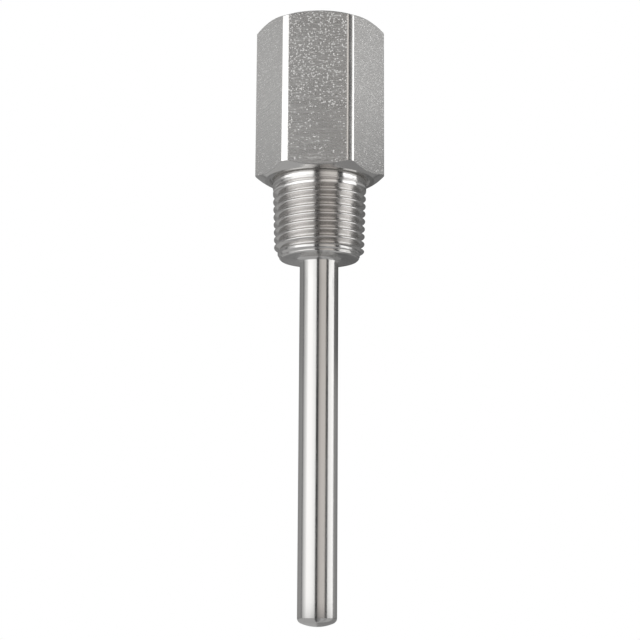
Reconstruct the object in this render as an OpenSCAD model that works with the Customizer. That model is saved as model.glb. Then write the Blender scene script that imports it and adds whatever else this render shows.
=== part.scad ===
// Threaded thermowell: a hexagon head with a socket for the sensor, a taper pipe thread
// for the vessel wall, and a slender closed stem, all turned from one bar.
// The axis is Z, the head is up, and the origin is the centre of the thread's small end face.

/* [Hexagon head] */
// Width across the flats
head_af = 27; // [25:0.5:32]
// Height of the head
head_h = 37.6; // [26:0.1:60]
// How much is turned off each corner, measured on the radius
corner_cut = 0.43; // [0:0.01:1]
// How far the underside's flat ring stops short of the flats
face_inset = 0.65; // [0.2:0.05:1.2]
// Angle of the lower chamfer, measured from the underside
head_chamfer_angle = 30; // [15:1:45]
// How far the top face stops short of the flats
top_inset = 1.15; // [0.2:0.05:1.5]
// Angle of the upper chamfer, measured from the top face
top_chamfer_angle = 26; // [15:1:45]

/* [Collar] */
// Height of the plain collar under the head
collar_h = 1.3; // [1:0.1:6]
// How far the collar stands proud of the last crest
collar_step = 0.03; // [0.03:0.01:0.6]
// Width of the undercut round the collar, in the head's underside
relief_w = 0.7; // [0.3:0.1:0.8]
// Depth of the undercut
relief_h = 0.5; // [0.2:0.1:1]

/* [Process thread] */
// Threads per inch
threads_per_inch = 14; // [11.5:0.5:18]
// Diameter over the crests at the small end
thread_d = 20.86; // [20:0.02:21]
// Length of the taper on which the diameter grows by one
taper_run = 16; // [12:1:24]
// Length of the threaded part, from its small end to the collar
thread_l = 17.6; // [12:0.1:20]
// Width of the flat left on the crests
crest_flat = 0.22; // [0.1:0.01:0.4]
// Width of the flat at the roots
root_flat = 0.16; // [0.05:0.01:0.3]
// Included angle of the groove
groove_angle = 60; // [50:1:70]
// Length of plain wall that the groove leaves below the collar
plain_l = 0.3; // [0.2:0.1:1.5]
// Share of a turn in which the tool lifts out of the groove
lift_turns = 1; // [0.25:0.05:1]
// Where the groove starts round the axis, in degrees
groove_phase = 168; // [0:1:359]
// Diameter of the plain lead at the small end
lead_d = 18.6; // [17.5:0.1:18.9]
// Size of the broken edge round the end face
lead_edge = 0.3; // [0.1:0.05:0.3]
// Height of the plain lead, with its broken edge
lead_l = 0.5; // [0.35:0.05:1.5]
// Angle of the chamfer above the lead, measured from the end face
lead_angle = 56; // [25:1:60]
// Diameter to which the first crest is turned down
first_d = 19.4; // [19:0.1:20.4]
// Height of the turned-down land
first_l = 0.53; // [0.2:0.01:1.5]
// Angle of the chamfer from that land up to the full crests
first_angle = 25; // [15:1:60]

/* [Stem] */
// Diameter of the stem
stem_d = 9; // [8.5:0.1:14]
// Length from the thread's small end to the tip
stem_l = 84; // [30:0.5:250]
// Radius of the fillet where the stem leaves the thread
stem_fillet = 1; // [0.2:0.1:2]
// Height of the domed end
tip_h = 2; // [1.6:0.05:2.4]
// Radius of the dome's shoulder
tip_shoulder = 1.35; // [0.8:0.05:1.5]

/* [Sensor side] */
// Diameter of the socket, as drilled for a parallel half inch pipe thread
socket_d = 18.63; // [15:0.01:20]
// Depth of the socket's straight wall below the head's top
socket_depth = 19; // [12:0.5:24]
// Diameter of the chamfer at the socket's mouth
mouth_d = 21.2; // [20.5:0.1:23]
// Diameter of the probe bore
bore_d = 6.5; // [5:0.1:7]
// Thickness of the closed end, on the axis
tip_wall = 4; // [2.5:0.1:8]
// Point angle of the drills
drill_point = 118; // [90:1:140]

/* [Hidden] */
$fn = 96;
steel = [0.66, 0.66, 0.64];
inch = 25.4;
// Overlap of solids that are joined, and reach of cuts past a face
join = 0.5;

// Levels along the axis
shoulder_z = thread_l + collar_h;
top_z = shoulder_z + head_h;
socket_floor_z = top_z - socket_depth;
tip_z = -stem_l;

// Head
corner_d = head_af / cos(30) - 2 * corner_cut;
face_d = head_af - 2 * face_inset;
head_chamfer_h = (corner_d - face_d) / 2 * tan(head_chamfer_angle);
top_face_d = head_af - 2 * top_inset;
top_chamfer_h = (corner_d - top_face_d) / 2 * tan(top_chamfer_angle);

// Thread
thread_sides = 48;
pitch = inch / threads_per_inch;
flank = tan(groove_angle / 2);
groove_depth = (pitch - crest_flat - root_flat) / (2 * flank);
plug_top = thread_l + join;
plug_bottom = -pitch;
collar_r = (thread_d + thread_l / taper_run) / 2 + collar_step;
// Turns counted from the start of the groove to the place where the tool has lifted out
groove_end_turn = (thread_l - plain_l) / pitch;
rows_per_turn = 4;
thread_rows = rows_per_turn * (ceil((plug_top - plug_bottom) / pitch) + 3);

// Stem and bores
stem_r = stem_d / 2;
dome_z = tip_z + tip_h;
dome_inner = stem_r - tip_shoulder;
// Radius of the dome's crown, tangent to its shoulder, and the angle at which the two meet
crown_r = (pow(dome_inner, 2) + pow(tip_h, 2) - pow(tip_shoulder, 2)) / (2 * (tip_h - tip_shoulder));
crown_z = tip_z + crown_r;
crown_angle = atan2(dome_inner, crown_z - dome_z);
half_point = drill_point / 2;
socket_cone_h = (socket_d - bore_d) / 2 / tan(half_point);
bore_cone_h = bore_d / 2 / tan(half_point);
bore_top_z = socket_floor_z - socket_cone_h;
bore_bottom_z = tip_z + tip_wall + bore_cone_h;

// Radius over the crests at height z
function crest_r(z) = (thread_d + z / taper_run) / 2;
// Height of the groove's middle after a number of turns
function groove_z(turns) = pitch * turns;
// Depth of the groove there: full, then less and less where the tool lifts out
function depth_at(turns) = groove_depth * min(1, max(0, (groove_end_turn - turns) / lift_turns));
// Half the width of the groove at the crests
function groove_half(turns) = root_flat / 2 + depth_at(turns) * flank;
// The groove's four edges, as heights from its middle: lower crest, root, root, upper crest
function edge_offset(edge, turns) =
    edge == 0 ? -groove_half(turns) :
    edge == 1 ? -root_flat / 2 :
    edge == 2 ? root_flat / 2 : groove_half(turns);
// Turns made by the groove that row lies on, in a column of the lattice
function row_turns(column, row) = floor(row / rows_per_turn) - 2 + column / thread_sides;
function row_z(column, row) =
    let (turns = row_turns(column, row))
    groove_z(turns) + edge_offset(row % rows_per_turn, turns);
function clamped_z(column, row) = min(plug_top, max(plug_bottom, row_z(column, row)));
function at_end(column, row) = clamped_z(column, row) != row_z(column, row);
function on_root(row) = row % rows_per_turn == 1 || row % rows_per_turn == 2;
function row_r(column, row) =
    let (depth = on_root(row) && !at_end(column, row) ? depth_at(row_turns(column, row)) : 0)
    crest_r(clamped_z(column, row)) - depth;
// Rows pushed past an end of the plug all stand for one point: the last one below, the first above
function lowest_row(column) =
    max([for (row = [0 : thread_rows - 1]) if (row_z(column, row) <= plug_bottom) row]);
function highest_row(column) =
    min([for (row = [0 : thread_rows - 1]) if (row_z(column, row) >= plug_top) row]);

// Bar with the helical groove cut in it, as a lattice whose rows follow the groove's edges.
// One turn on, a column meets the first one again, four rows further up.
module threaded_plug() {
    lows = [for (column = [0 : thread_sides - 1]) lowest_row(column)];
    highs = [for (column = [0 : thread_sides - 1]) highest_row(column)];
    function index(column, row) =
        let (
            around = column % thread_sides,
            lifted = row + rows_per_turn * floor(column / thread_sides),
            kept = min(highs[around], max(lows[around], lifted))
        )
        around * thread_rows + kept;
    function is_real(face) = face[0] != face[1] && face[1] != face[2] && face[2] != face[0];
    points = [
        for (column = [0 : thread_sides - 1], row = [0 : thread_rows - 1])
            let (angle = 360 * column / thread_sides + groove_phase, r = row_r(column, row))
            [r * cos(angle), r * sin(angle), clamped_z(column, row)]
    ];
    wall = [
        for (column = [0 : thread_sides - 1], row = [-rows_per_turn : thread_rows - 1])
            let (
                a = index(column, row),
                b = index(column, row + 1),
                c = index(column + 1, row + 1),
                d = index(column + 1, row)
            )
            for (face = [[a, b, c], [a, c, d]])
                if (is_real(face)) face
    ];
    bottom = [for (column = [0 : thread_sides - 1]) index(column, -rows_per_turn)];
    top = [for (column = [thread_sides - 1 : -1 : 0]) index(column, thread_rows)];
    polyhedron(points = points, faces = concat(wall, [bottom, top]));
}

// Outline of the blank that the thread is cut on: plain lead with a broken edge, chamfer,
// turned-down land of the first crest, second chamfer, and room for the full crests
module lead_outline() {
    lead_r = lead_d / 2;
    first_r = first_d / 2;
    land_z = lead_l + (first_r - lead_r) * tan(lead_angle);
    land_top_z = land_z + first_l;
    polygon([
        [0, 0],
        [lead_r - lead_edge, 0],
        [lead_r, lead_edge],
        [lead_r, lead_l],
        [first_r, land_z],
        [first_r, land_top_z],
        [collar_r, land_top_z + (collar_r - first_r) * tan(first_angle)],
        [collar_r, plug_top],
        [0, plug_top]
    ]);
}

module thread_body() {
    intersection() {
        threaded_plug();
        rotate_extrude() lead_outline();
    }
}

// Bar of hexagon section with its corners turned, both ends chamfered, and the underside
// undercut round the collar
module head() {
    relief_r = collar_r + relief_w;
    intersection() {
        translate([0, 0, shoulder_z]) cylinder(h = head_h, d = head_af / cos(30), $fn = 6);
        rotate_extrude() polygon([
            [0, shoulder_z + relief_h],
            [relief_r, shoulder_z + relief_h],
            [relief_r, shoulder_z],
            [face_d / 2, shoulder_z],
            [corner_d / 2, shoulder_z + head_chamfer_h],
            [corner_d / 2, top_z - top_chamfer_h],
            [top_face_d / 2, top_z],
            [0, top_z]
        ]);
    }
}

module collar() {
    translate([0, 0, thread_l]) cylinder(h = collar_h + relief_h + join, r = collar_r);
}

// Half section of the stem: plain shank, fillet at the top, two tangent arcs at the closed end
module stem_outline() {
    far = 2 * crown_r;
    translate([0, dome_z]) square([stem_r, join - dome_z]);
    difference() {
        translate([0, -stem_fillet]) square([stem_r + stem_fillet, stem_fillet]);
        translate([stem_r + stem_fillet, -stem_fillet]) circle(stem_fillet);
    }
    intersection() {
        translate([dome_inner, dome_z]) circle(tip_shoulder);
        translate([dome_inner, dome_z - tip_shoulder]) square(tip_shoulder);
    }
    intersection() {
        translate([0, crown_z]) circle(crown_r);
        polygon([
            [0, dome_z],
            [0, crown_z - far],
            [far * sin(crown_angle), crown_z - far * cos(crown_angle)],
            [dome_inner, dome_z]
        ]);
    }
}

module stem() {
    rotate_extrude() stem_outline();
}

// Socket with a chamfered mouth and a drilled floor, and the blind bore for the probe
module sensor_bores() {
    mouth_h = (mouth_d - socket_d) / 2;
    rotate_extrude() polygon([
        [0, bore_bottom_z - bore_cone_h],
        [bore_d / 2, bore_bottom_z],
        [bore_d / 2, bore_top_z],
        [socket_d / 2, socket_floor_z],
        [socket_d / 2, top_z - mouth_h],
        [mouth_d / 2 + join, top_z + join],
        [0, top_z + join]
    ]);
}

module thermowell() {
    color(steel) difference() {
        union() {
            head();
            collar();
            thread_body();
            stem();
        }
        sensor_bores();
    }
}

thermowell();
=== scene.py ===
"""A threaded thermowell: hexagon head, taper pipe thread, slender closed stem.

The body is one closed surface worked out on a grid of columns round the axis and rows along
its outline, from the tip up the outside, over the top and down the sensor side to the bore's end.
The frame is the CAD model's: metres, axis on Z, head up, origin on the thread's small end face.
"""
import math
from typing import NamedTuple

import bpy
import numpy as np
from mathutils import Matrix, Vector


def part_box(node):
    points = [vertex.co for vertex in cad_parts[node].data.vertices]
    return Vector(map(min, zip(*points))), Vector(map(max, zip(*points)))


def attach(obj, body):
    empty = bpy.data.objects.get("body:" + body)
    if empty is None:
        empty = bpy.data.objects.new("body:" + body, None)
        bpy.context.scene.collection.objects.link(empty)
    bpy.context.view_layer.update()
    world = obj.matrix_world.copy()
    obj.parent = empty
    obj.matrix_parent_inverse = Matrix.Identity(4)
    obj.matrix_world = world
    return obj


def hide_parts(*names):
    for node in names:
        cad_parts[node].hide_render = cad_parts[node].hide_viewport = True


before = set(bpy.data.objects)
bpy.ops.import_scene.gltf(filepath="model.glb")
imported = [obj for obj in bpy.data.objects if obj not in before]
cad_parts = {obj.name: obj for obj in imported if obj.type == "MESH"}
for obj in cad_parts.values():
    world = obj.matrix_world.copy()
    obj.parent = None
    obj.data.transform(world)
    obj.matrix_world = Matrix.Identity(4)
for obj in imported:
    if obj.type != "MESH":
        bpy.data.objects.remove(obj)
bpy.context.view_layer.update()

NODE_LOW, NODE_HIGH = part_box("thermowell")

bl_info = {
    "name": "Thermowell builder",
    "version": (1, 0, 0),
    "blender": (4, 5, 0),
    "location": "View3D > Sidebar > Thermowell",
    "description": "Builds a threaded thermowell, its steel finishes and a soft studio around it",
    "category": "Object",
}

MM = 0.001
HAIR = 0.01 * MM                # two sizes closer than this count as one
MERGE = 1e-8                    # rows of a thread closer than this become one row

# The body's grid: columns over a sixth of a turn, and the half widths of the soft edge beside a
# turned corner and of the gap that holds the flat's first column off it.
CORNER_COLUMNS, EDGE_COLUMNS, FLAT_COLUMNS = 7, 5, 20
EDGE_EASE, EDGE_GUARD = math.radians(0.9), math.radians(1.1)

# Rows along the outline, steps in the arc of a rounded edge, and how far from the arc's ends its
# guard rows lie.
CROWN_ROWS, SHOULDER_ROWS, SHANK_ROWS, FILLET_ROWS = 10, 9, 18, 8
HEAD_ROWS, BORE_ROWS, ARC_STEPS = 10, 24, 4
ARC_GUARD = 0.04 * MM

# Finishes, in the order of the body's materials. A flank is a face of the thread, above the
# chamfer of its lead, whose radius changes by more than a share of the face's length.
TURNED, DRAWN, FACED, FLANK = range(4)
FLANK_LEAN = 0.3
FLANKS_FROM = 1.3 * MM
CRISP_EDGE = math.radians(35)   # edges that turn by more than this aren't shaded smooth

# Patterns of the finishes, in waves or cells per metre along X, Y and Z, or in all directions.
TOOL_RINGS = 5200.0
TORN_STREAKS = (700.0, 700.0, 5000.0)
POLISH_DRIFT = (160.0, 160.0, 90.0)
DRAWN_MARKS = (180.0, 180.0, 4200.0)
FROST_CLOUDS = (380.0, 380.0, 380.0)
FROST_CELLS = 2600.0
FROST_SHAKE = 4000.0
FROST_SPARSE, FROST_DENSE = 30 * MM, 38 * MM    # heights between which the frost thickens

# The studio
CAMERA_SIDE = -87.5             # degrees from X towards Y to the side where the camera stands
FLOOR_DROP = 46 * MM            # from the tip down to the floor
FLOOR_RADIUS = 8.0
TABLE_RISE = 1 * MM             # from the floor up to the table that only the steel sees
TABLE_HOLE = 2 * MM             # radius at which the table starts
TABLE_REACH = 405 * MM          # radius up to which it has its own level of light
SCREEN_REACH = 450 * MM         # radius of the screens' upright walls
SCREEN_STEP = 3.0               # degrees from one column of a screen to the next, at most


# ---------------------------------------------------------------- sizes and colours

def number(name, description, default, low, high, **kind):
    """A property that holds a number, with its default and its limits."""
    return bpy.props.FloatProperty(
        name=name, description=description, default=default, min=low, max=high, **kind)


def length_mm(name, description, default, low, high):
    """A property that holds a length; its default and limits are written in millimetres here."""
    return number(name, description, default * MM, low * MM, high * MM,
                  precision=5, unit="LENGTH")


def angle_degrees(name, description, default, low, high):
    """A property that holds an angle; its default and limits are written in degrees here."""
    return number(name, description, math.radians(default), math.radians(low),
                  math.radians(high), subtype="ANGLE", unit="ROTATION")


def colour(name, description, default):
    """A property that holds a colour: red, green and blue from 0 to 1."""
    return bpy.props.FloatVectorProperty(
        name=name, description=description, default=default, min=0.0, max=1.0,
        subtype="COLOR", size=3)


class ThermowellBodySizes(bpy.types.PropertyGroup):
    """Sizes of the thermowell's body."""

    head_flats: length_mm("Across flats", "Width of the hexagon head across its flats",
                          (NODE_HIGH.y - NODE_LOW.y) / MM, 20, 50)
    head_height: length_mm("Head height", "Height of the hexagon head", 37.6, 20, 80)
    corner_cut: length_mm("Corner cut", "How much is turned off each corner, on the radius",
                          0.43, 0.1, 1)
    face_inset: length_mm("Face inset", "How far the underside's flat ring stops short of the flats",
                          0.65, 0.2, 1.5)
    head_chamfer: angle_degrees("Lower chamfer", "Angle of the head's lower chamfer from the underside",
                                30, 12, 50)
    top_inset: length_mm("Top inset", "How far the top face stops short of the flats",
                         1.15, 0.2, 1.5)
    top_chamfer: angle_degrees("Upper chamfer", "Angle of the head's upper chamfer from the top face",
                               26, 12, 50)
    collar_height: length_mm("Collar height", "Height of the plain collar under the head",
                             1.3, 1, 6)
    collar_step: length_mm("Collar step", "How far the collar stands proud of the last crest",
                           0.03, 0.03, 0.6)
    relief_width: length_mm("Relief width", "Width of the undercut round the collar", 0.7, 0.3, 1.2)
    relief_depth: length_mm("Relief depth", "Depth of the undercut in the head's underside",
                            0.5, 0.2, 1)
    stem_diameter: length_mm("Stem diameter", "Diameter of the stem", 9.0, 8.5, 14)
    stem_length: length_mm("Stem length", "From the thread's small end to the tip",
                           -NODE_LOW.z / MM, 30, 250)
    stem_fillet: length_mm("Stem fillet", "Radius of the fillet where the stem leaves the thread",
                           1.0, 0.2, 2)
    tip_height: length_mm("Tip height", "Height of the domed end", 2.0, 1.6, 2.4)
    tip_shoulder: length_mm("Tip shoulder", "Radius of the dome's shoulder", 1.35, 0.8, 1.5)
    edge_round: length_mm("Edge rounding", "Radius left on turned edges by deburring",
                          0.12, 0.02, 0.3)
    collar_edge: length_mm("Collar edge", "Radius of the edge where the collar meets the thread",
                           0.02, 0.01, 0.03)


class ProcessThreadSizes(bpy.types.PropertyGroup):
    """Sizes of the taper thread that screws into the vessel."""

    small_diameter: length_mm("Small end", "Diameter over the crests at the small end",
                              20.86, 20, 21)
    pitch: length_mm("Pitch", "Distance from one crest to the next", 25.4 / 14, 1.4, 2.3)
    taper_run: number("Taper run", "Length on which the diameter grows by one", 16.0, 12.0, 24.0)
    length: length_mm("Length", "Length of the threaded part, up to the collar", 17.6, 12, 20)
    crest_flat: length_mm("Crest flat", "Width of the flat left on the crests", 0.22, 0.1, 0.4)
    root_flat: length_mm("Root flat", "Width of the flat at the roots", 0.16, 0.05, 0.3)
    groove_angle: angle_degrees("Groove angle", "Included angle of the groove", 60, 45, 75)
    groove_round: length_mm("Groove rounding", "How far from a crest or root edge its corner is soft",
                            0.06, 0.01, 0.1)
    plain_length: length_mm("Plain wall", "Plain wall that the groove leaves below the collar",
                            0.3, 0.2, 1.5)
    lift_turns: number("Lift-out", "Share of a turn in which the tool lifts out of the groove",
                       1.0, 0.25, 1.0)
    phase: angle_degrees("Start", "Where the groove starts round the axis", 168, 0, 360)
    lead_diameter: length_mm("Lead diameter", "Diameter of the plain lead at the small end",
                             18.6, 17.5, 19.5)
    lead_edge: length_mm("Lead edge", "Size of the broken edge round the end face", 0.3, 0.1, 0.5)
    lead_length: length_mm("Lead length", "Height of the plain lead, with its broken edge",
                           0.5, 0.35, 1.5)
    lead_angle: angle_degrees("Lead chamfer", "Angle of the chamfer above the plain lead",
                              56, 25, 63)
    first_diameter: length_mm("First crest", "Diameter to which the first crest is turned down",
                              19.4, 18.8, 20.5)
    first_length: length_mm("First crest's land", "Height of the land to which it is turned down",
                            0.53, 0.2, 1.5)
    first_angle: angle_degrees("First crest's chamfer", "Angle at which the crest grows to full height",
                               25, 18, 63)


class SensorSideSizes(bpy.types.PropertyGroup):
    """Sizes of the threaded socket and of the bore for the probe."""

    socket_diameter: length_mm("Socket", "Diameter over the crests of the socket's thread",
                               18.63, 15, 20)
    socket_depth: length_mm("Socket depth", "Depth of the socket's wall below the head's top",
                            19.0, 12, 24)
    thread_depth: length_mm("Thread depth", "Depth of the socket's thread groove", 1.162, 0.5, 1.4)
    thread_angle: angle_degrees("Thread angle", "Included angle of the socket's thread groove",
                                55, 45, 75)
    thread_round: length_mm("Thread rounding", "How far from a crest or root edge its corner is soft",
                            0.1, 0.01, 0.2)
    thread_phase: angle_degrees("Thread start", "Where the socket's thread starts round the axis",
                                63.0254, 0, 360)
    runout: length_mm("Runout", "Plain wall left below the socket's thread", 2.6, 1, 6)
    mouth_diameter: length_mm("Mouth", "Diameter of the chamfer at the socket's mouth",
                              21.2, 20.5, 23)
    bore_diameter: length_mm("Probe bore", "Diameter of the bore for the probe", 6.5, 5, 7)
    tip_wall: length_mm("Tip wall", "Thickness of the closed end on the axis", 4.0, 2.5, 8)
    drill_point: angle_degrees("Drill point", "Point angle of the drills", 118, 90, 140)


class SteelFinish(bpy.types.PropertyGroup):
    """Colour and polish of the stainless steel."""

    turned_colour: colour("Turned steel", "Colour of the turned surfaces", (0.76, 0.75, 0.735))
    turned_roughness: number("Turned roughness", "Roughness of the turned surfaces",
                             0.15, 0.02, 0.6)
    thread_colour: colour("Thread flanks", "Colour of the process thread's flanks",
                          (0.70, 0.686, 0.672))
    thread_roughness: number("Thread roughness", "Roughness of the process thread's flanks",
                             0.20, 0.02, 0.6)
    faced_roughness: number("Faced roughness", "Roughness of the head's ends and chamfers",
                            0.13, 0.02, 0.6)
    flat_colour: colour("Drawn flats", "Colour of the bar's drawn flats", (0.80, 0.79, 0.775))
    flat_roughness: number("Flat roughness", "Roughness of the bar's drawn flats", 0.27, 0.1, 0.8)


class StudioLook(bpy.types.PropertyGroup):
    """Levels of the studio's soft light."""

    softbox_level: number("Softboxes", "Brightness of the two tall softboxes", 1.28, 0.2, 3.0)
    front_level: number("Front screen", "Brightness of the screen in front of the part",
                        0.62, 0.05, 1.5)
    left_wall_level: number("Left wall", "Brightness of the grey wall behind on the left",
                            0.40, 0.05, 1.0)
    right_wall_level: number("Right wall", "Brightness of the grey wall behind on the right",
                             0.20, 0.05, 1.0)
    gap_level: number("Dark gaps", "Brightness of the gaps beside the softboxes", 0.05, 0.0, 0.5)
    table_level: number("Table", "Brightness of the grey table top that the steel mirrors",
                        0.42, 0.05, 1.0)
    foot_share: number("Foot", "Share of a screen's light at its foot",
                       0.45, 0.0, 1.0, subtype="FACTOR")
    head_share: number("Head", "Share of a screen's light at the heights that the head mirrors",
                       1.45, 0.0, 3.0)
    top_share: number("Top", "Share of a screen's light at its top",
                      0.55, 0.0, 1.0, subtype="FACTOR")
    floor_colour: colour("Floor", "Colour of the floor", (0.86, 0.86, 0.86))
    backdrop_level: number("Backdrop", "Brightness of the even light from all round", 0.9, 0.1, 2.0)


# ---------------------------------------------------------------- shapes as functions

def soft_min(a, b, reach):
    """The lesser of a and b, with the corner between them rounded where they differ by less than
    reach: the square of what their difference falls short of it, over four times reach, is taken
    off."""
    short = np.maximum(reach - np.abs(a - b), 0.0)
    return np.minimum(a, b) - short * short / (4.0 * np.maximum(reach, 1e-12))


def soft_max(a, b, reach):
    """The greater of a and b, with the corner between them rounded in the same way."""
    return -soft_min(-a, -b, reach)


def rounded_outline(path, radii, steps, guard):
    """Outline through corner points, with an arc in each corner that has a radius.

    path is an array (points, columns) of radius + i * height. An arc starts radius times tan(half
    the turn) before its corner, and its points are start + radius * heading * (e^(i*turn*f) - 1)
    / i for f from 0 to 1. A guard row lies beside each end of an arc, on the straight there, so
    that the faces beyond it shade flat."""
    rows = [path[:1]]
    share = np.linspace(0.0, 1.0, steps + 1)[:, None]
    for k in range(1, len(path) - 1):
        before, after = path[k] - path[k - 1], path[k + 1] - path[k]
        heading, leaving = before / np.abs(before), after / np.abs(after)
        if radii[k] <= 0:
            rows.append(path[k][None])
            continue
        turn = np.angle(after / before)
        side = np.where(turn < 0, -1.0, 1.0)
        start = path[k] - heading * radii[k] * np.tan(np.abs(turn) / 2)
        arc = start + radii[k] * heading * (np.exp(1j * turn * share) - 1) / (1j * side)
        gap = min(guard, radii[k])
        rows += [(start - heading * gap)[None], arc, (arc[-1] + leaving * gap)[None]]
    rows.append(path[-1:])
    return np.concatenate(rows)


class Groove:
    """A helical groove of V form with flat crests and roots.

    At a height z and an angle the nearest groove middle is pitch * turns, with turns the angle in
    turns plus a whole number. The cut there is the distance from the groove's edge over the
    tangent of half the groove's angle, held between 0 and the depth with small rounded corners."""

    def __init__(self, pitch, half_angle, root, phase, depth_at, rounding):
        self.pitch, self.slope, self.root = pitch, math.tan(half_angle), root
        self.phase, self.depth_at, self.rounding = phase, depth_at, rounding

    def cut(self, z, angle):
        """How deep the groove is cut at each height and angle."""
        share = (angle - self.phase) / (2 * math.pi)
        turns = share + np.round(z / self.pitch - share)
        depth = self.depth_at(turns)
        half = self.root / 2 + depth * self.slope
        straight = (half - np.abs(z - self.pitch * turns)) / self.slope
        reach = np.minimum(self.rounding, depth / 2)
        return soft_max(soft_min(straight, depth, reach), 0.0, reach)

    def rows(self, angle, low, high, crossings):
        """Heights of the rows that follow the groove between two levels, lowest first, and how
        many rows each turn has.

        They run along the groove's middle, along the ends and the middle of each rounded corner,
        on the crest between two turns, and where the blank's outline crosses the flanks, which is
        what crossings(middle, half) gives. Heights past a level are held on it. A full turn on, a
        column has the same rows again, one turn's count further up."""
        share = (angle - self.phase) / (2 * math.pi)
        spare = 2
        first = math.floor(low / self.pitch - share.max()) - spare
        last = math.ceil(high / self.pitch - share.min()) + spare
        turns = np.arange(first, last + 1)[:, None] + share[None, :]
        depth = self.depth_at(turns)
        middle, half = self.pitch * turns, self.root / 2 + depth * self.slope
        ease = np.minimum(self.rounding, depth / 2) * self.slope
        near = self.root / 2 + 0 * ease
        above = [near - ease, near, near + ease, half - ease, half, half + ease]
        heights = [middle, middle + self.pitch / 2]
        heights += [middle + offset for offset in above] + [middle - offset for offset in above]
        for lower, upper in crossings(middle, half):
            heights.append(np.clip(lower, middle - half, middle - near))
            heights.append(np.clip(upper, middle + near, middle + half))
        per_turn = len(heights)
        return np.clip(np.concatenate(heights), low, high), per_turn


def stacked(winding, fixed, angle):
    """Winding rows and level rows as one stack, sorted by height in every column, with rows
    closer than MERGE put at one height so that they merge."""
    level = np.asarray(fixed, float)[:, None] + 0 * angle[None, :]
    heights = np.sort(np.concatenate([winding, level]), axis=0)
    steps = np.diff(heights, axis=0)
    return heights[:1] + np.concatenate([0 * heights[:1], np.cumsum(
        np.where(steps < MERGE, 0.0, steps), axis=0)])


def corner_radius(sizes):
    """Radius to which the hexagon's corners are turned: that of its true corner, which is half
    the flats over the cosine of a twelfth of a turn, less the corner cut."""
    return sizes.head_flats / 2 / math.cos(math.pi / 6) - sizes.corner_cut


def head_columns(sizes):
    """Angles of the grid's columns, and which of the strips between them lie on a flat.

    They are close together over each turned corner and over the soft edge beside it, and even
    over the flats. The hexagon's corners lie at whole sixths of a turn."""
    sixth = math.pi / 3
    edge = sixth / 2 - math.acos(sizes.head_flats / 2 / corner_radius(sizes))
    next_edge = sixth - edge
    sector = np.concatenate([
        np.linspace(EDGE_EASE - edge, edge - EDGE_EASE, CORNER_COLUMNS),
        np.linspace(edge - EDGE_EASE, edge + EDGE_EASE, EDGE_COLUMNS)[1:],
        np.linspace(edge + EDGE_GUARD, next_edge - EDGE_GUARD, FLAT_COLUMNS),
        np.linspace(next_edge - EDGE_EASE, next_edge + EDGE_EASE, EDGE_COLUMNS)[:-1]])
    angle = (sector[None, :] + sixth * np.arange(6)[:, None]).ravel()
    middle = (angle + np.roll(angle, -1)) / 2
    middle[-1] = (angle[-1] + angle[0] + 2 * math.pi) / 2
    from_corner = np.abs(np.mod(middle + sixth / 2, sixth) - sixth / 2)
    return angle, from_corner > edge


def head_radius(angle, sizes):
    """Radius of the head at an angle: half the flats over the cosine of the angle from the flat's
    middle, and at most the turned corner radius."""
    from_middle = np.mod(angle, math.pi / 3) - math.pi / 6
    flat = sizes.head_flats / 2 / np.cos(from_middle)
    return soft_min(flat, corner_radius(sizes), sizes.edge_round)


def tip_and_stem_rows(angle, sizes):
    """Dome, shank and fillet: the dome is a wide crown arc and a shoulder arc that share a
    tangent, the shank a straight line, the fillet a quarter circle that ends on the end face."""
    radius, rise, shoulder = sizes.stem_diameter / 2, sizes.tip_height, sizes.tip_shoulder
    inner = radius - shoulder
    crown = (inner ** 2 + rise ** 2 - shoulder ** 2) / (2 * (rise - shoulder))
    meet = math.atan2(inner, crown - rise)
    over_crown = np.linspace(0.0, meet, CROWN_ROWS)
    over_shoulder = np.linspace(meet, math.pi / 2, SHOULDER_ROWS)[1:]
    r = np.concatenate([crown * np.sin(over_crown), inner + shoulder * np.sin(over_shoulder)])
    z = np.concatenate([crown * (1 - np.cos(over_crown)), rise - shoulder * np.cos(over_shoulder)])
    dome = r + 1j * (z - sizes.stem_length)
    foot = radius - 1j * sizes.stem_fillet
    shank = dome[-1] + (foot - dome[-1]) * np.linspace(0, 1, SHANK_ROWS)[1:]
    over_fillet = np.linspace(0, math.pi / 2, FILLET_ROWS)[1:]
    fillet = foot + sizes.stem_fillet * (1 - np.cos(over_fillet) + 1j * np.sin(over_fillet))
    rows = np.concatenate([dome, shank, fillet])
    return rows[:, None] + 0 * angle[None, :]


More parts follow.
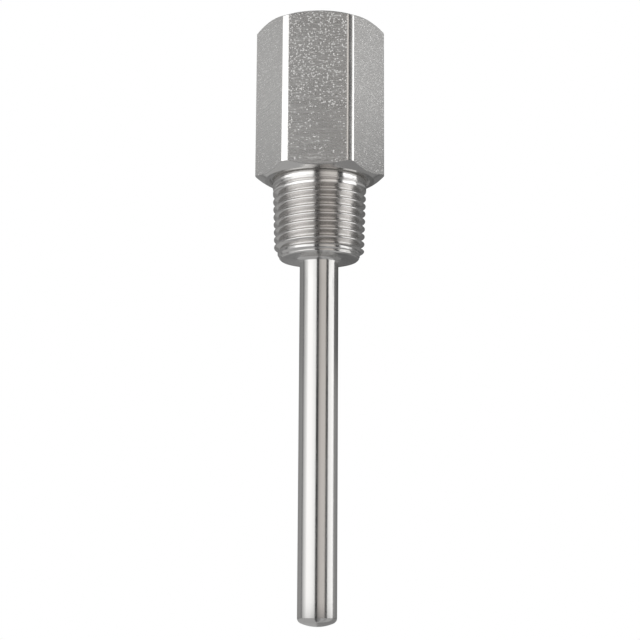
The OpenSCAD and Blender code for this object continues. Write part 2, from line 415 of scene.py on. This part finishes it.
def process_thread_rows(angle, thread):
    """Lead, first crest, taper thread and run-out: the radius is the taper's crest less the
    groove's cut, and never more than the blank's.

    The blank is a plain lead with a broken edge, a chamfer, a land to which the first crest is
    turned down, and a second chamfer up to the full crests."""
    slope = math.tan(thread.groove_angle / 2)
    small_r, taper = thread.small_diameter / 2, 1 / (2 * thread.taper_run)
    lead_r, first_r = thread.lead_diameter / 2, thread.first_diameter / 2
    lead_rise, first_rise = math.tan(thread.lead_angle), math.tan(thread.first_angle)
    land = thread.lead_length + (first_r - lead_r) * lead_rise
    land_top = land + thread.first_length
    corners = [(lead_r - thread.lead_edge, 0.0), (lead_r, thread.lead_edge),
               (lead_r, thread.lead_length), (first_r, land), (first_r, land_top),
               (first_r + thread.pitch, land_top + thread.pitch * first_rise)]
    depth = (thread.pitch - thread.crest_flat - thread.root_flat) / (2 * slope)
    end_turn = (thread.length - thread.plain_length) / thread.pitch

    def depth_at(turns):
        """Full depth, then less and less over the share of a turn where the tool lifts out."""
        return depth * np.clip((end_turn - turns) / thread.lift_turns, 0.0, 1.0)

    def crossings(middle, half):
        """Heights where each straight of the blank's outline crosses the groove's flanks."""
        pairs = []
        for (r, z), (next_r, next_z) in zip(corners[1:], corners[2:]):
            lean = (next_r - r) / (next_z - z)
            known = r - lean * z - small_r
            pairs.append(((known + (half - middle) / slope) / (taper - 1 / slope - lean),
                          (known + (half + middle) / slope) / (taper + 1 / slope - lean)))
        return pairs

    groove = Groove(thread.pitch, thread.groove_angle / 2, thread.root_flat, thread.phase,
                    depth_at, thread.groove_round)
    winding, per_turn = groove.rows(angle, 0.0, thread.length, crossings)
    blank_r, blank_z = np.array(corners).T
    chamfer_top = land_top + (small_r + land_top * taper - first_r) / (1 / first_rise - taper)
    z = stacked(winding, [*blank_z[1:5], chamfer_top], angle)
    blank = np.interp(z, blank_z, blank_r, right=math.inf)
    r = np.minimum(small_r + z * taper - groove.cut(z, angle[None, :]), blank)
    return r + 1j * z, per_turn


def collar_and_head_rows(angle, sizes, thread, mouth):
    """Collar, relief, underside, chamfer, flats, chamfer and top face, up to the mouth.

    The chamfers are cones at their angle from the end faces, so on each column they meet the
    flat at the height (head radius - face radius) * tan(angle) from the face."""
    crest = (thread.small_diameter + thread.length / thread.taper_run) / 2
    collar = crest + sizes.collar_step + 0 * angle
    shoulder = thread.length + sizes.collar_height + 0 * angle
    top = shoulder + sizes.head_height
    face = sizes.head_flats / 2 - sizes.face_inset + 0 * angle
    top_face = sizes.head_flats / 2 - sizes.top_inset + 0 * angle
    head = head_radius(angle, sizes)
    start = thread.length + 0 * angle
    lower = shoulder + (head - face) * math.tan(sizes.head_chamfer)
    upper = top - (head - top_face) * math.tan(sizes.top_chamfer)
    along = [head + 1j * (lower + (upper - lower) * share)
             for share in np.linspace(0, 1, HEAD_ROWS)]
    relief, recess = collar + sizes.relief_width, shoulder + sizes.relief_depth
    path = [crest + 1j * start, collar + 1j * start, collar + 1j * recess, relief + 1j * recess,
            relief + 1j * shoulder, face + 1j * shoulder,
            *along, top_face + 1j * top, mouth + 1j * top]
    radii = np.zeros(len(path))
    radii[1] = sizes.collar_edge
    radii[[2, 3, 4, 5, 6, -3, -2]] = sizes.edge_round
    return rounded_outline(np.array(path), radii, ARC_STEPS, ARC_GUARD)


def socket_thread_rows(angle, socket, pitch, top):
    """Mouth chamfer and the socket's parallel thread, from the top down: the radius is the crest
    plus the groove's cut, and never less than the mouth's chamfer at 45 degrees. The groove's
    flat root is an eighth of the pitch wide."""
    crest, mouth = socket.socket_diameter / 2, socket.mouth_diameter / 2
    slope, root = math.tan(socket.thread_angle / 2), pitch / 8
    floor = top - socket.socket_depth
    end = floor + socket.runout

    def depth_at(turns):
        """Full depth, then less and less over half a turn where the tap ends."""
        return socket.thread_depth * np.clip((turns * pitch - end) / (pitch / 2), 0.0, 1.0)

    def crossings(middle, half):
        """Heights where the mouth's chamfer crosses the lower and the upper flank."""
        known = mouth - top - crest
        lower = (known - (half - middle) / slope) / (1 / slope - 1)
        upper = ((half + middle) / slope - known) / (1 + 1 / slope)
        return [(lower, upper)]

    groove = Groove(pitch, socket.thread_angle / 2, root, socket.thread_phase, depth_at,
                    socket.thread_round)
    winding, per_turn = groove.rows(angle, floor, top, crossings)
    z = stacked(winding, [top - mouth + crest], angle)
    r = np.maximum(crest + groove.cut(z, angle[None, :]), mouth - top + z)
    return (r + 1j * z)[::-1], per_turn


def bore_rows(angle, sizes, socket, top):
    """Drill cone in the socket's floor, the probe bore's wall, and its drill point on the axis: a
    cone's height is its radius over the tangent of half the point's angle."""
    floor = top - socket.socket_depth
    point = math.tan(socket.drill_point / 2)
    bore = socket.bore_diameter / 2
    entry = floor - (socket.socket_diameter / 2 - bore) / point
    tip = -sizes.stem_length + socket.tip_wall
    wall = bore + 1j * np.linspace(entry, tip + bore / point, BORE_ROWS)
    return np.append(wall, 1j * tip)[:, None] + 0 * angle[None, :]


def body_surface(sizes, thread, socket):
    """The whole body's grid: its points, its faces, and each face's finish.

    A point is (radius * cos(angle), radius * sin(angle), height), with the radius and the height
    from its row's outline. Rows are stacked from the tip's pole to the pole at the bore's end.
    Past the last column a row meets the first column's: the same row in plain zones, and one
    turn's count of rows further along in the two thread zones, where the rows wind. Equal
    neighbours in a column are merged first, and the faces that this closes are left out."""
    angle, on_flat = head_columns(sizes)
    top = thread.length + sizes.collar_height + sizes.head_height
    outer, outer_turn = process_thread_rows(angle, thread)
    head = collar_and_head_rows(angle, sizes, thread, socket.mouth_diameter / 2)
    inner, inner_turn = socket_thread_rows(angle, socket, thread.pitch, top)
    zones = [tip_and_stem_rows(angle, sizes), outer, head[1:-1], inner,
             bore_rows(angle, sizes, socket, top)]
    path = np.concatenate(zones)
    starts = np.cumsum([0] + [len(zone) for zone in zones])
    rows, columns = path.shape

    meets = np.arange(rows)
    winding, tapped = slice(starts[1], starts[2]), slice(starts[3], starts[4])
    meets[winding] = np.minimum(meets[winding] + outer_turn, starts[2] - 1)
    meets[tapped] = np.maximum(meets[tapped] - inner_turn, starts[3])

    is_new = np.ones((rows, columns), bool)
    is_new[1:] = path[1:] != path[:-1]
    is_new[0, 1:] = is_new[-1, 1:] = False
    order = np.cumsum(is_new.T.ravel()).reshape(columns, rows).T - 1
    order[0], order[-1] = order[0, 0], order[-1, 0]
    points = path.T[is_new.T]
    turned = np.repeat(angle[:, None], rows, axis=1)[is_new.T]
    co = np.stack([points.real * np.cos(turned), points.real * np.sin(turned), points.imag], 1)

    ahead = np.concatenate([order[:, 1:], order[meets, :1]], axis=1)
    faces = np.stack([order[:-1], ahead[:-1], ahead[1:], order[1:]], axis=-1).reshape(-1, 4)
    return co, faces, face_finishes(path, on_flat, starts, sizes, thread, socket).ravel()


def face_finishes(path, on_flat, starts, sizes, thread, socket):
    """The finish of each face of the grid: the upright ones at the flats are drawn, the others on
    the head's outside are faced, those that lean on the process thread are flanks, and what is
    left is turned."""
    least = np.minimum(path[1:].real, path[:-1].real)
    run, height = np.abs(path[1:].real - path[:-1].real), path[1:].imag
    row = np.arange(len(path) - 1)[:, None]
    shoulder, mouth = thread.length + sizes.collar_height, socket.mouth_diameter / 2
    drawn = (run == 0) & (least > sizes.head_flats / 2 - HAIR) & on_flat[None, :]
    faced = (run > 0) & (height > shoulder - HAIR) & (row < starts[3]) & (least > mouth - HAIR)
    flank = (run > FLANK_LEAN * np.abs(path[1:] - path[:-1])) & (height > FLANKS_FROM)
    flank &= (height < thread.length) & (row >= starts[1]) & (row < starts[2])
    return np.select([drawn, faced, flank], [DRAWN, FACED, FLANK], TURNED).astype(np.int32)


def closed_mesh(name, co, faces, slots):
    """A mesh from points and four-cornered faces, of which some corners may be one point: those
    become triangles, or nothing where fewer than three corners are left."""
    same = faces == np.roll(faces, -1, axis=1)
    whole, three = ~same.any(axis=1), same.sum(axis=1) == 1
    first = np.argmax(same, axis=1)
    picks = (first[:, None] + np.array([1, 2, 3])[None, :]) % 4
    triangles = np.take_along_axis(faces, picks, axis=1)[three]
    quads = faces[whole]
    loops = np.concatenate([quads.ravel(), triangles.ravel()])
    starts = np.concatenate([np.arange(len(quads)) * 4,
                             len(quads) * 4 + np.arange(len(triangles)) * 3])
    mesh = bpy.data.meshes.new(name)
    mesh.vertices.add(len(co))
    mesh.vertices.foreach_set("co", co.astype(np.float32).ravel())
    mesh.loops.add(len(loops))
    mesh.loops.foreach_set("vertex_index", loops.astype(np.int32))
    mesh.polygons.add(len(starts))
    mesh.polygons.foreach_set("loop_start", starts.astype(np.int32))
    mesh.polygons.foreach_set("material_index", np.concatenate([slots[whole], slots[three]]))
    mesh.update(calc_edges=True)
    mesh.validate()
    return mesh


# ---------------------------------------------------------------- finishes

def feed(tree, sockets, values):
    """Joins each input to another node's output, or sets it to a plain value."""
    for socket, value in zip(sockets, values):
        if isinstance(value, bpy.types.NodeSocket):
            tree.links.new(value, socket)
        else:
            socket.default_value = value


def new_node(tree, kind, setting=None, **inputs):
    """A shader node with one of its settings chosen, as (name, choice), and with its inputs fed
    by name, where an underscore stands for a space."""
    node = tree.nodes.new("ShaderNode" + kind)
    if setting:
        setattr(node, *setting)
    feed(tree, [node.inputs[name.replace("_", " ")] for name in inputs], inputs.values())
    return node


def new_material(name):
    """A material with nodes, and its node tree."""
    material = bpy.data.materials.new(name)
    material.use_nodes = True
    return material, material.node_tree


def new_steel(name, tone):
    """A steel material without its roughness and relief: the material, its node tree, its shader,
    object coordinates and their three parts."""
    material, tree = new_material(name)
    shader = tree.nodes["Principled BSDF"]
    shader.inputs["Base Color"].default_value = (*tone, 1.0)
    shader.inputs["Metallic"].default_value = 1.0
    place = new_node(tree, "TexCoord").outputs["Object"]
    parts = new_node(tree, "SeparateXYZ", Vector=place).outputs
    return material, tree, shader, place, parts


def math_node(tree, operation, first, second=0.0):
    """A Math node with another node's output or a number on each side."""
    node = new_node(tree, "Math", ("operation", operation))
    feed(tree, node.inputs, (first, second))
    return node.outputs[0]


def vector_node(tree, operation, *values):
    """A Vector Math node with its inputs fed in order."""
    node = new_node(tree, "VectorMath", ("operation", operation))
    feed(tree, node.inputs, values)
    return node.outputs


def ramp_node(tree, source, low, high, out_low, out_high):
    """A Map Range node that is smooth between its ends."""
    return new_node(tree, "MapRange", ("interpolation_type", "SMOOTHSTEP"), Value=source,
                    From_Min=low, From_Max=high, To_Min=out_low, To_Max=out_high).outputs["Result"]


def spread_node(tree, source, middle, below, above):
    """A ramp over the middle part of a noise's range, from so much below a value to so much above
    it."""
    return ramp_node(tree, source, 0.3, 0.7, middle - below, middle + above)


def noise_node(tree, source, scale, detail=2.0):
    """A Noise Texture on the piece's own coordinates, with its waves per metre along each axis."""
    stretched = new_node(tree, "Mapping", Vector=source, Scale=scale).outputs["Vector"]
    return new_node(tree, "TexNoise", Vector=stretched, Scale=1.0, Detail=detail).outputs["Fac"]


def add_relief(tree, shader, height, strength, depth):
    """Bump on a shader: a height of 1 stands for the depth in metres."""
    bump = new_node(tree, "Bump", Height=height, Strength=strength, Distance=depth)
    tree.links.new(bump.outputs["Normal"], shader.inputs["Normal"])


def turned_steel(name, tone, roughness, tearing):
    """Bright turned steel: faint rings left by the tool, which run round the axis on walls and
    faces alike because they follow radius plus height, a slow drift of the polish, and short
    level streaks where the tool tore the steel, as strong as asked."""
    material, tree, shader, place, parts = new_steel(name, tone)
    square = math_node(tree, "ADD", math_node(tree, "MULTIPLY", parts[0], parts[0]),
                       math_node(tree, "MULTIPLY", parts[1], parts[1]))
    along = math_node(tree, "ADD", math_node(tree, "SQRT", square), parts[2])
    rings = new_node(tree, "TexNoise", ("noise_dimensions", "1D"), W=along, Scale=TOOL_RINGS,
                     Detail=3.0).outputs["Fac"]
    drift = noise_node(tree, place, POLISH_DRIFT)
    rough = math_node(tree, "ADD", spread_node(tree, rings, 0.0, 0.02, 0.03),
                      spread_node(tree, drift, roughness, 0.02, 0.03))
    tree.links.new(rough, shader.inputs["Roughness"])
    streaks = noise_node(tree, place, TORN_STREAKS)
    relief = math_node(tree, "ADD", math_node(tree, "MULTIPLY", rings, 0.1),
                       math_node(tree, "MULTIPLY", streaks, tearing))
    add_relief(tree, shader, relief, 1.0, 0.01 * MM)
    return material


def frosted_pits(tree, place, height):
    """How deep the drawn bar's frost is at a point, from 0 to 1: round pits of uneven size, one in
    some of the cells of a slightly shaken Voronoi pattern. A cell holds a pit where its chance is
    over a limit, which drifts in clouds and is high on the lower part of the head."""
    jitter = new_node(tree, "TexNoise", Vector=place, Scale=FROST_SHAKE).outputs["Color"]
    shaken = vector_node(tree, "MULTIPLY_ADD", jitter, (0.05 * MM,) * 3, place)["Vector"]
    cells = new_node(tree, "TexVoronoi", Vector=shaken, Scale=FROST_CELLS)
    chance = new_node(tree, "SeparateColor", Color=cells.outputs["Color"])
    clouds = noise_node(tree, place, FROST_CLOUDS, detail=3.0)
    limit = math_node(tree, "ADD", ramp_node(tree, height, FROST_SPARSE, FROST_DENSE, 0.38, 0.0),
                      ramp_node(tree, clouds, 0.35, 0.65, 0.50, 0.20))
    holds_one = math_node(tree, "GREATER_THAN", chance.outputs[0], limit)
    radius = math_node(tree, "ADD", math_node(tree, "MULTIPLY", chance.outputs[1], 0.20), 0.27)
    inside = math_node(tree, "SUBTRACT", radius, cells.outputs["Distance"])
    return math_node(tree, "MULTIPLY", holds_one, ramp_node(tree, inside, 0.0, 0.15, 0.0, 1.0))


def drawn_steel(name, tone, roughness):
    """Satin flats of the drawn bar: small frosted pits, most of them on the upper part of the
    head, over faint level marks that run round it."""
    material, tree, shader, place, parts = new_steel(name, tone)
    pits = frosted_pits(tree, place, parts[2])
    marks = noise_node(tree, place, DRAWN_MARKS)
    rough = math_node(tree, "ADD", spread_node(tree, marks, roughness, 0.015, 0.015),
                      math_node(tree, "MULTIPLY", pits, 0.2))
    tree.links.new(rough, shader.inputs["Roughness"])
    tree.links.new(ramp_node(tree, pits, 0.0, 1.0, 0.93, 0.05), shader.inputs["Metallic"])
    relief = math_node(tree, "ADD", math_node(tree, "MULTIPLY", pits, 0.65),
                       math_node(tree, "MULTIPLY", marks, 0.03))
    add_relief(tree, shader, relief, 0.5, 0.06 * MM)
    return material


# ---------------------------------------------------------------- studio

class Screen(NamedTuple):
    """One luminous screen of the studio, and how its light is shared out.

    It stands between two angles, in degrees round the axis from the camera's side, positive to
    the camera's right, with a colour of light at each. The rest are the brightness of its zones
    beside those of a plain screen: of the table before it, and up its wall of its foot, of the
    heights that the stem, the thread and the collar mirror, and of its top."""

    name: str
    start: float
    end: float
    start_light: tuple
    end_light: tuple
    table: float = 1.0
    foot: float = 1.0
    stem: float = 1.0
    thread: float = 1.0
    collar: float = 1.0
    top: float = 1.0


def studio_screens(look):
    """The screens, from the wall behind the part on the left round to the one on the right."""
    def grey(level):
        """Neutral light."""
        return (level, level, level)

    def warm(level):
        """Light with a little more red and less blue."""
        return (level * 1.03, level * 0.98, level * 0.94)

    box, gap, front = look.softbox_level, look.gap_level, look.front_level
    left, right = look.left_wall_level, look.right_wall_level
    return (
        Screen("left_wall", -180, -107, grey(left * 0.60), grey(left * 0.85),
               stem=0.85, thread=0.8, collar=1.1, top=0.7),
        Screen("left_edge", -107, -97, grey(left * 0.5), grey(left * 0.5),
               stem=0.8, thread=0.8, collar=4.0),
        Screen("softbox_left_edge", -97, -68, grey(box * 0.35), grey(box * 0.88),
               stem=0.9, thread=0.6, collar=2.8, top=0.0),
        Screen("softbox_left", -68, -36, grey(box), grey(box),
               thread=1.1, collar=1.3),
        Screen("softbox_left_side", -36, -14, grey(box * 0.97), grey(box * 0.82),
               foot=0.7, stem=0.95, collar=1.3, top=0.7),
        Screen("gap_left", -14, 1, grey(gap), grey(gap),
               table=0.2, foot=0.1),
        Screen("front_side", 1, 20, warm(front * 0.70), warm(front * 1.08),
               table=0.6, foot=0.05, stem=0.92, thread=0.72, top=0.42),
        Screen("front", 20, 43, warm(front * 1.03), warm(front * 1.08),
               foot=0.15, stem=0.95, thread=0.78, collar=1.1, top=0.50),
        Screen("gap_right", 43, 59, grey(gap * 1.8), grey(gap * 1.8),
               table=0.8, stem=0.8, thread=0.7, collar=0.7, top=0.7),
        Screen("softbox_right", 59, 84, grey(box * 0.79), grey(box * 0.95),
               foot=0.5, thread=1.2, collar=2.2, top=0.85),
        Screen("softbox_right_side", 84, 101, grey(box * 0.95), grey(box * 1.05),
               foot=0.5, thread=0.32, collar=1.5, top=0.3),
        Screen("right_wall", 101, 180, grey(right * 1.68), grey(right * 0.7),
               table=0.6, stem=0.5, thread=0.42, collar=0.7, top=0.35),
    )


def wall_zones(screen, look):
    """Heights above the floor up a screen's wall, and the share of its light at each.

    The wall's foot and its plain part are followed by a level stretch for each form of the part
    that mirrors it towards the camera: the stem, the thread, the collar and the head."""
    foot, top = screen.foot * look.foot_share, screen.top * look.top_share
    return ((8 * MM, foot), (32 * MM, 1.0), (160 * MM, 1.0),
            (185 * MM, screen.stem), (215 * MM, screen.stem),
            (230 * MM, screen.thread), (258 * MM, screen.thread),
            (266 * MM, screen.collar), (280 * MM, screen.collar),
            (295 * MM, look.head_share), (355 * MM, look.head_share),
            (400 * MM, (1.0 + top) / 2), (630 * MM, top), (880 * MM, top))


def lit_screen(screen, look, floor_z, material):
    """A luminous sheet that starts on the table near the part, runs out over it and bends up into
    an upright wall on part of a cylinder.

    Points on one column share an angle, and the columns are even between the screen's two. The
    light at a point on the wall is the light at its angle, evenly graded from one end to the
    other, times its row's share; the table has one level of its own."""
    count = max(3, int((screen.end - screen.start) / SCREEN_STEP) + 2)
    along = np.linspace(0.0, 1.0, count)
    turn = np.radians(CAMERA_SIDE + screen.start + (screen.end - screen.start) * along)
    level = np.outer(1 - along, screen.start_light) + np.outer(along, screen.end_light)
    zones = wall_zones(screen, look)
    rows = [(TABLE_HOLE, TABLE_RISE, 0.0), (TABLE_REACH, TABLE_RISE, 0.0),
            (SCREEN_REACH, TABLE_RISE, zones[0][1])]
    rows += [(SCREEN_REACH, height, share) for height, share in zones]
    reach, height, share = np.array(rows).T
    light = share[:, None, None] * level[None, :, :]
    light[:2] = screen.table * look.table_level
    co = np.stack([np.outer(reach, np.cos(turn)), np.outer(reach, np.sin(turn)),
                   np.repeat(floor_z + height[:, None], count, axis=1)], axis=2)
    first = (np.arange(len(rows) - 1)[:, None] * count + np.arange(count - 1)).ravel()
    faces = np.stack([first, first + count, first + count + 1, first + 1], axis=1)
    mesh = bpy.data.meshes.new(screen.name)
    mesh.from_pydata(co.reshape(-1, 3).tolist(), [], faces.tolist())
    colours = mesh.color_attributes.new("light", "FLOAT_COLOR", "POINT")
    rgba = np.concatenate([light, np.ones(light.shape[:2] + (1,))], axis=2)
    colours.data.foreach_set("color", rgba.astype(np.float32).ravel())
    mesh.materials.append(material)
    sheet = bpy.data.objects.new(screen.name, mesh)
    mirrored_only(sheet)
    return sheet


def mirrored_only(sheet):
    """The steel mirrors this sheet, and nothing else sees it."""
    sheet.visible_camera = False
    sheet.visible_diffuse = False
    sheet.visible_shadow = False
    sheet.visible_transmission = False
    sheet.visible_volume_scatter = False


def glow():
    """A luminous material that shines with the light kept on each point."""
    material, tree = new_material("studio_light")
    tree.nodes.clear()
    kept = new_node(tree, "Attribute", ("attribute_name", "light"))
    emission = new_node(tree, "Emission", Color=kept.outputs["Color"])
    new_node(tree, "OutputMaterial", Surface=emission.outputs[0])
    return material


def disc(name, radius, height, count=96):
    """A flat round sheet: one ring of points at even angles."""
    turn = 2 * math.pi * np.arange(count) / count
    co = np.column_stack([radius * np.cos(turn), radius * np.sin(turn), np.full(count, height)])
    mesh = bpy.data.meshes.new(name)
    mesh.from_pydata(co.tolist(), [], [list(range(count))])
    return bpy.data.objects.new(name, mesh)


def seen_by_eye(tree):
    """One where a ray comes from the camera, a mirror or glass, and nought elsewhere."""
    path = new_node(tree, "LightPath").outputs
    either = math_node(tree, "MAXIMUM", path["Is Camera Ray"], path["Is Glossy Ray"])
    return math_node(tree, "MAXIMUM", either, path["Is Transmission Ray"])


def mix_shaders(tree, share, plain, seen, output):
    """Mixes two shaders by a share into the tree's output."""
    mixed = new_node(tree, "MixShader", Fac=share)
    tree.links.new(plain.outputs[0], mixed.inputs[1])
    tree.links.new(seen.outputs[0], mixed.inputs[2])
    tree.links.new(mixed.outputs[0], output.inputs["Surface"])


def pale_floor(tone):
    """Pale matt floor that keeps the part's shadow near it and melts into the white backdrop
    further out: from 0.3 m to 1.1 m from the axis its colour turns to plain white to the eye."""
    material, tree = new_material("pale_floor")
    matt = tree.nodes["Principled BSDF"]
    matt.inputs["Base Color"].default_value = (*tone, 1.0)
    matt.inputs["Roughness"].default_value = 0.9
    matt.inputs["Specular IOR Level"].default_value = 0.0
    away = vector_node(tree, "LENGTH", new_node(tree, "TexCoord").outputs["Object"])["Value"]
    far = ramp_node(tree, away, 0.3, 1.1, 0.0, 1.0)
    share = math_node(tree, "MULTIPLY", far, seen_by_eye(tree))
    white = new_node(tree, "Emission", Color=(1.0, 1.0, 1.0, 1.0), Strength=1.0)
    mix_shaders(tree, share, matt, white, tree.nodes["Material Output"])
    return material


def white_backdrop(level):
    """World: plain white where it is seen, directly or mirrored, and a soft level of light."""
    world = bpy.data.worlds.new("studio")
    world.use_nodes = True
    tree = world.node_tree
    tree.nodes.clear()
    light, white = (new_node(tree, "Background", Color=(1.0, 1.0, 1.0, 1.0), Strength=strength)
                    for strength in (level, 1.0))
    mix_shaders(tree, seen_by_eye(tree), light, white, new_node(tree, "OutputWorld"))
    bpy.context.scene.world = world


def place_camera(context):
    """Camera 369 mm from the axis at the height of the dome's rim, tilted up at the part, with a
    slight pan and roll."""
    side, distance, height = math.radians(CAMERA_SIDE), 369.08 * MM, -82.29 * MM
    pan, tilt, roll = math.radians(-0.044), math.radians(10.453), math.radians(0.332)
    eye = Vector((distance * math.cos(side), distance * math.sin(side), height))
    level = Vector((-math.cos(side + pan), -math.sin(side + pan), 0.0))
    ahead = (level * math.cos(tilt) + Vector((0, 0, math.sin(tilt)))).normalized()
    right = ahead.cross(Vector((0, 0, 1))).normalized()
    up = right.cross(ahead)
    across = right * math.cos(roll) + up * math.sin(roll)
    upward = up * math.cos(roll) - right * math.sin(roll)
    data = bpy.data.cameras.new("camera")
    data.sensor_width, data.lens = 36.0, 91.2375
    data.clip_start, data.clip_end = 0.01, 50.0
    camera = bpy.data.objects.new("camera", data)
    turned = Matrix((across, upward, -ahead)).transposed().to_4x4()
    camera.matrix_world = Matrix.Translation(eye) @ turned
    context.collection.objects.link(camera)
    context.scene.camera = camera


# ---------------------------------------------------------------- operators

class THERMOWELL_OT_build_body(bpy.types.Operator):
    """Build the thermowell's body with its two threads, its bores and its steel finishes"""

    bl_idname = "thermowell.build_body"
    bl_label = "Build body"

    def execute(self, context):
        scene = context.scene
        steel = scene.thermowell_finish
        co, faces, finishes = body_surface(
            scene.thermowell_body, scene.thermowell_thread, scene.thermowell_socket)
        mesh = closed_mesh("thermowell_body", co, faces, finishes)
        materials = {
            TURNED: turned_steel("turned_steel", steel.turned_colour, steel.turned_roughness, 0.0),
            DRAWN: drawn_steel("drawn_steel", steel.flat_colour, steel.flat_roughness),
            FACED: turned_steel("faced_steel", steel.turned_colour, steel.faced_roughness, 0.0),
            FLANK: turned_steel("thread_steel", steel.thread_colour, steel.thread_roughness, 0.6),
        }
        for finish in sorted(materials):
            mesh.materials.append(materials[finish])
        mesh.shade_smooth()
        mesh.set_sharp_from_angle(angle=CRISP_EDGE)
        body = bpy.data.objects.new("thermowell_body", mesh)
        context.collection.objects.link(body)
        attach(body, "root")
        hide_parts("thermowell")
        return {"FINISHED"}


class THERMOWELL_OT_build_stage(bpy.types.Operator):
    """Set up the floor, the backdrop, the softboxes and screens, and the camera"""

    bl_idname = "thermowell.build_stage"
    bl_label = "Build stage"

    def execute(self, context):
        look = context.scene.thermowell_studio
        floor_z = NODE_LOW.z - FLOOR_DROP
        floor = disc("floor", FLOOR_RADIUS, floor_z)
        floor.data.materials.append(pale_floor(look.floor_colour))
        light = glow()
        screens = [lit_screen(screen, look, floor_z, light) for screen in studio_screens(look)]
        for obj in (floor, *screens):
            context.collection.objects.link(obj)
        white_backdrop(look.backdrop_level)
        place_camera(context)
        context.scene.view_settings.view_transform = "Standard"
        return {"FINISHED"}


class THERMOWELL_PT_panel(bpy.types.Panel):
    """Sizes, finishes and studio of the thermowell, and the buttons that build it"""

    bl_idname = "THERMOWELL_PT_panel"
    bl_label = "Thermowell"
    bl_space_type = "VIEW_3D"
    bl_region_type = "UI"
    bl_category = "Thermowell"

    def draw(self, context):
        layout = self.layout
        for attribute, group in GROUPS.items():
            box = layout.box()
            box.label(text=group.bl_rna.description)
            values = getattr(context.scene, attribute)
            for name in group.__annotations__:
                box.prop(values, name)
        for operator in OPERATORS:
            layout.operator(operator.bl_idname)


GROUPS = {
    "thermowell_body": ThermowellBodySizes,
    "thermowell_thread": ProcessThreadSizes,
    "thermowell_socket": SensorSideSizes,
    "thermowell_finish": SteelFinish,
    "thermowell_studio": StudioLook,
}
OPERATORS = (THERMOWELL_OT_build_body, THERMOWELL_OT_build_stage)


def register():
    """Makes the classes known to Blender, and gives every scene its own sizes and looks."""
    for group in GROUPS.values():
        bpy.utils.register_class(group)
    for operator in OPERATORS:
        bpy.utils.register_class(operator)
    bpy.utils.register_class(THERMOWELL_PT_panel)
    for attribute, group in GROUPS.items():
        setattr(bpy.types.Scene, attribute, bpy.props.PointerProperty(type=group))


def unregister():
    """Takes back what register did, in the opposite order."""
    for attribute in GROUPS:
        delattr(bpy.types.Scene, attribute)
    bpy.utils.unregister_class(THERMOWELL_PT_panel)
    for operator in reversed(OPERATORS):
        bpy.utils.unregister_class(operator)
    for group in reversed(GROUPS.values()):
        bpy.utils.unregister_class(group)


def main():
    """Builds the body and the stage."""
    register()
    bpy.ops.thermowell.build_body()
    bpy.ops.thermowell.build_stage()
    bpy.context.view_layer.update()


if __name__ == "__main__":
    main()
